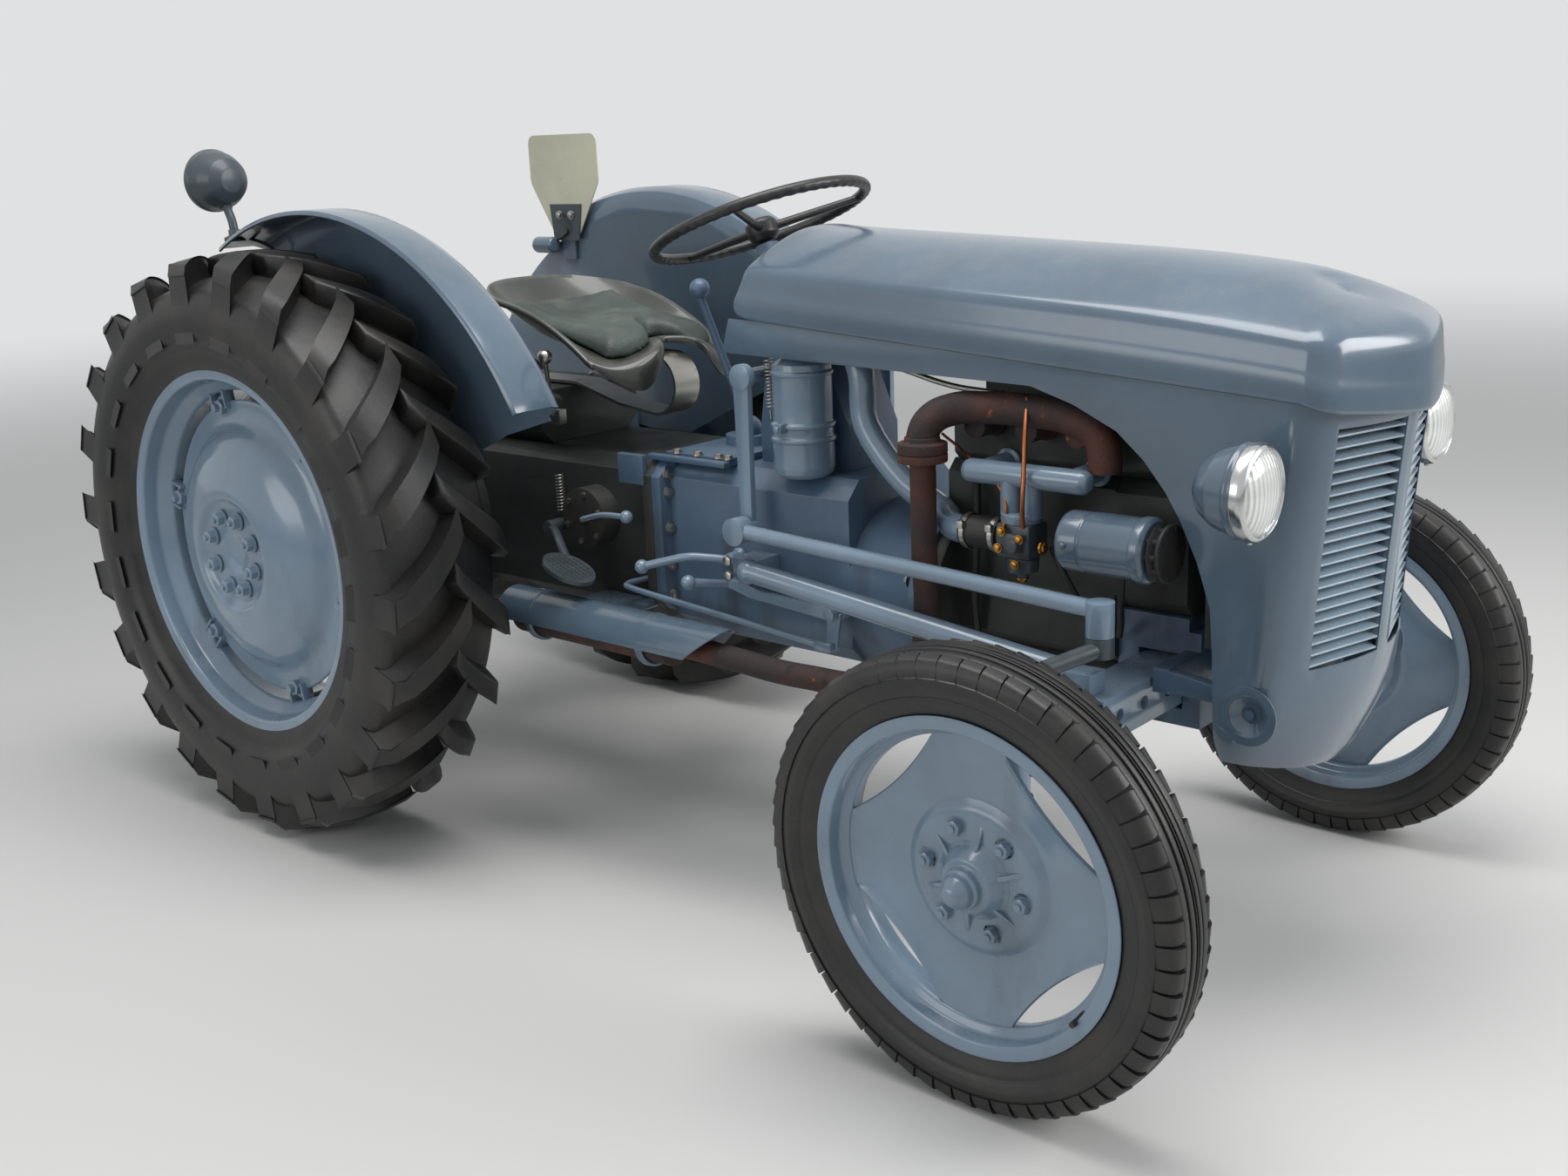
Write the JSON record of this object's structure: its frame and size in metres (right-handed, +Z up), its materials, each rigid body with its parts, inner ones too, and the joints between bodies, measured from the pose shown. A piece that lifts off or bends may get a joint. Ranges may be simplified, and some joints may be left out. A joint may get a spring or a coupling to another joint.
{
  "type": "tractor",
  "caption": "Vintage farm tractor with steered front wheels, lugged rear tyres, tilting bonnet, pan seat, fenders and a rear three-point lift.",
  "frame": {"origin": "middle of the bounding box on the ground", "axes": "+X forward to the nose, +Y to the driver's left, +Z up"},
  "size_m": [2.92, 1.444, 1.4182],
  "materials": {
    "blue_grey_paint": "satin",
    "pale_paint": "satin",
    "dark_paint": "satin",
    "black_paint": "satin",
    "cast_housing": "matte",
    "grey_casting": "satin",
    "rusty_iron": "matte",
    "bright_steel": "satin",
    "tyre_rubber": "matte",
    "belt_rubber": "matte",
    "black_plastic": "satin",
    "cream_paint": "satin"
  },
  "bodies": {
    "chassis": {"rear_housing": "cast_housing", "lift_cover": "cast_housing", "axle_housings": "cast_housing", "gearbox": "grey_casting", "gearbox_cover": "grey_casting", "steering_box": "grey_casting", "dash_panel": "blue_grey_paint", "fuel_tank": "dark_paint", "engine_block": "cast_housing", "cylinder_head": "cast_housing", "exhaust_manifold": "rusty_iron", "exhaust_pipe": "rusty_iron", "intake": "pale_paint", "air_cleaner": "pale_paint", "air_pipe": "pale_paint", "dynamo": "blue_grey_paint", "fan_belt": "belt_rubber", "radiator": "black_paint", "front_support": "grey_casting", "front_axle": "pale_paint", "radius_rods": "pale_paint", "seat_pan": "black_paint", "seat_spring": "bright_steel", "fenders": "blue_grey_paint", "work_lamp": "dark_paint", "number_board": "cream_paint", "brake_pedals": "dark_paint", "foot_rests": "blue_grey_paint", "control_quadrant": "bright_steel"},
    "steering_wheel": {"steering_wheel": "black_plastic"},
    "drop_arm_right": {"drop_arm_right": "pale_paint"},
    "drop_arm_left": {"drop_arm_left": "pale_paint"},
    "drag_link_right": {"drag_link_right": "pale_paint"},
    "drag_link_left": {"drag_link_left": "pale_paint"},
    "knuckle_right": {"knuckle_right": "dark_paint"},
    "knuckle_left": {"knuckle_left": "dark_paint"},
    "front_wheel_right": {"front_tyre_right": "tyre_rubber", "front_wheel_right": "pale_paint"},
    "front_wheel_left": {"front_tyre_left": "tyre_rubber", "front_wheel_left": "pale_paint"},
    "rear_wheel_right": {"rear_tyre_right": "tyre_rubber", "rear_wheel_right": "pale_paint"},
    "rear_wheel_left": {"rear_tyre_left": "tyre_rubber", "rear_wheel_left": "pale_paint"},
    "bonnet": {"bonnet_top": "blue_grey_paint", "nose_cowl": "blue_grey_paint", "grille": "pale_paint", "headlamps": "blue_grey_paint"},
    "lift_arms": {"lift_arms": "cast_housing"},
    "lower_link_right": {"lower_link_right": "dark_paint"},
    "lower_link_left": {"lower_link_left": "dark_paint"},
    "lift_rod_right": {"lift_rod_right": "dark_paint"},
    "lift_rod_left": {"lift_rod_left": "dark_paint"}
  },
  "joints": [
    {"name": "steer_right", "type": "hinge", "parent": "chassis", "child": "knuckle_right", "pos_m": [1.0895, -0.54, 0.5], "axis": [0, 0, 1], "range_deg": [-35, 35]},
    {"name": "steer_left", "type": "hinge", "parent": "chassis", "child": "knuckle_left", "pos_m": [1.0895, 0.54, 0.5], "axis": [0, 0, 1], "range_deg": [-35, 35]},
    {"name": "steering_turn", "type": "hinge", "parent": "chassis", "child": "steering_wheel", "pos_m": [0.1665, 0, 1.222], "axis": [-0.3453, 0, 0.9385], "range_deg": [-420, 420]},
    {"name": "drop_arm_swing_right", "type": "hinge", "parent": "chassis", "child": "drop_arm_right", "pos_m": [0.2965, -0.19, 0.96], "axis": [0, 1, 0], "range_deg": [-25.6, 25.6]},
    {"name": "drop_arm_swing_left", "type": "hinge", "parent": "chassis", "child": "drop_arm_left", "pos_m": [0.2965, 0.19, 0.96], "axis": [0, 1, 0], "range_deg": [-25.6, 25.6]},
    {"name": "drag_link_turn_right", "type": "hinge", "parent": "drop_arm_right", "child": "drag_link_right", "pos_m": [0.2965, -0.235, 0.68], "axis": [0, 1, 0], "range_deg": [-25.6, 25.6]},
    {"name": "drag_link_turn_left", "type": "hinge", "parent": "drop_arm_left", "child": "drag_link_left", "pos_m": [0.2965, 0.235, 0.68], "axis": [0, 1, 0], "range_deg": [-25.6, 25.6]},
    {"name": "front_spin_right", "type": "hinge", "parent": "knuckle_right", "child": "front_wheel_right", "pos_m": [1.0895, -0.633, 0.348], "axis": [0, 0.9994, 0.0349], "continuous": true},
    {"name": "front_spin_left", "type": "hinge", "parent": "knuckle_left", "child": "front_wheel_left", "pos_m": [1.0895, 0.633, 0.348], "axis": [0, 0.9994, -0.0349], "continuous": true},
    {"name": "rear_spin_right", "type": "hinge", "parent": "chassis", "child": "rear_wheel_right", "pos_m": [-0.6885, -0.58, 0.602], "axis": [0, 1, 0], "continuous": true},
    {"name": "rear_spin_left", "type": "hinge", "parent": "chassis", "child": "rear_wheel_left", "pos_m": [-0.6885, 0.58, 0.602], "axis": [0, 1, 0], "continuous": true},
    {"name": "bonnet_tilt", "type": "hinge", "parent": "chassis", "child": "bonnet", "pos_m": [1.3065, 0, 0.522], "axis": [0, 1, 0], "range_deg": [0, 70]},
    {"name": "lift_swing", "type": "hinge", "parent": "chassis", "child": "lift_arms", "pos_m": [-0.7635, 0, 0.84], "axis": [0, 1, 0], "range_deg": [-20, 45]},
    {"name": "lower_link_swing_right", "type": "hinge", "parent": "chassis", "child": "lower_link_right", "pos_m": [-0.6485, -0.225, 0.4], "axis": [0, 1, 0], "range_deg": [-13.6, 30.6]},
    {"name": "lower_link_swing_left", "type": "hinge", "parent": "chassis", "child": "lower_link_left", "pos_m": [-0.6485, 0.225, 0.4], "axis": [0, 1, 0], "range_deg": [-13.6, 30.6]},
    {"name": "lift_rod_turn_right", "type": "hinge", "parent": "lift_arms", "child": "lift_rod_right", "pos_m": [-1.0145, -0.208, 0.796], "axis": [0, 1, 0], "range_deg": [-45, 20]},
    {"name": "lift_rod_turn_left", "type": "hinge", "parent": "lift_arms", "child": "lift_rod_left", "pos_m": [-1.0145, 0.208, 0.796], "axis": [0, 1, 0], "range_deg": [-45, 20]}
  ],
  "couplings": [
    {"joint": "steer_left", "follows": "steer_right", "ratio": 1},
    {"joint": "steering_turn", "follows": "steer_right", "ratio": 12},
    {"joint": "drop_arm_swing_right", "follows": "steer_right", "ratio": 0.73},
    {"joint": "drop_arm_swing_left", "follows": "steer_right", "ratio": -0.73},
    {"joint": "drag_link_turn_right", "follows": "steer_right", "ratio": -0.73},
    {"joint": "drag_link_turn_left", "follows": "steer_right", "ratio": 0.73},
    {"joint": "lower_link_swing_right", "follows": "lift_swing", "ratio": 0.68},
    {"joint": "lower_link_swing_left", "follows": "lift_swing", "ratio": 0.68},
    {"joint": "lift_rod_turn_right", "follows": "lift_swing", "ratio": -1},
    {"joint": "lift_rod_turn_left", "follows": "lift_swing", "ratio": -1}
  ]
}
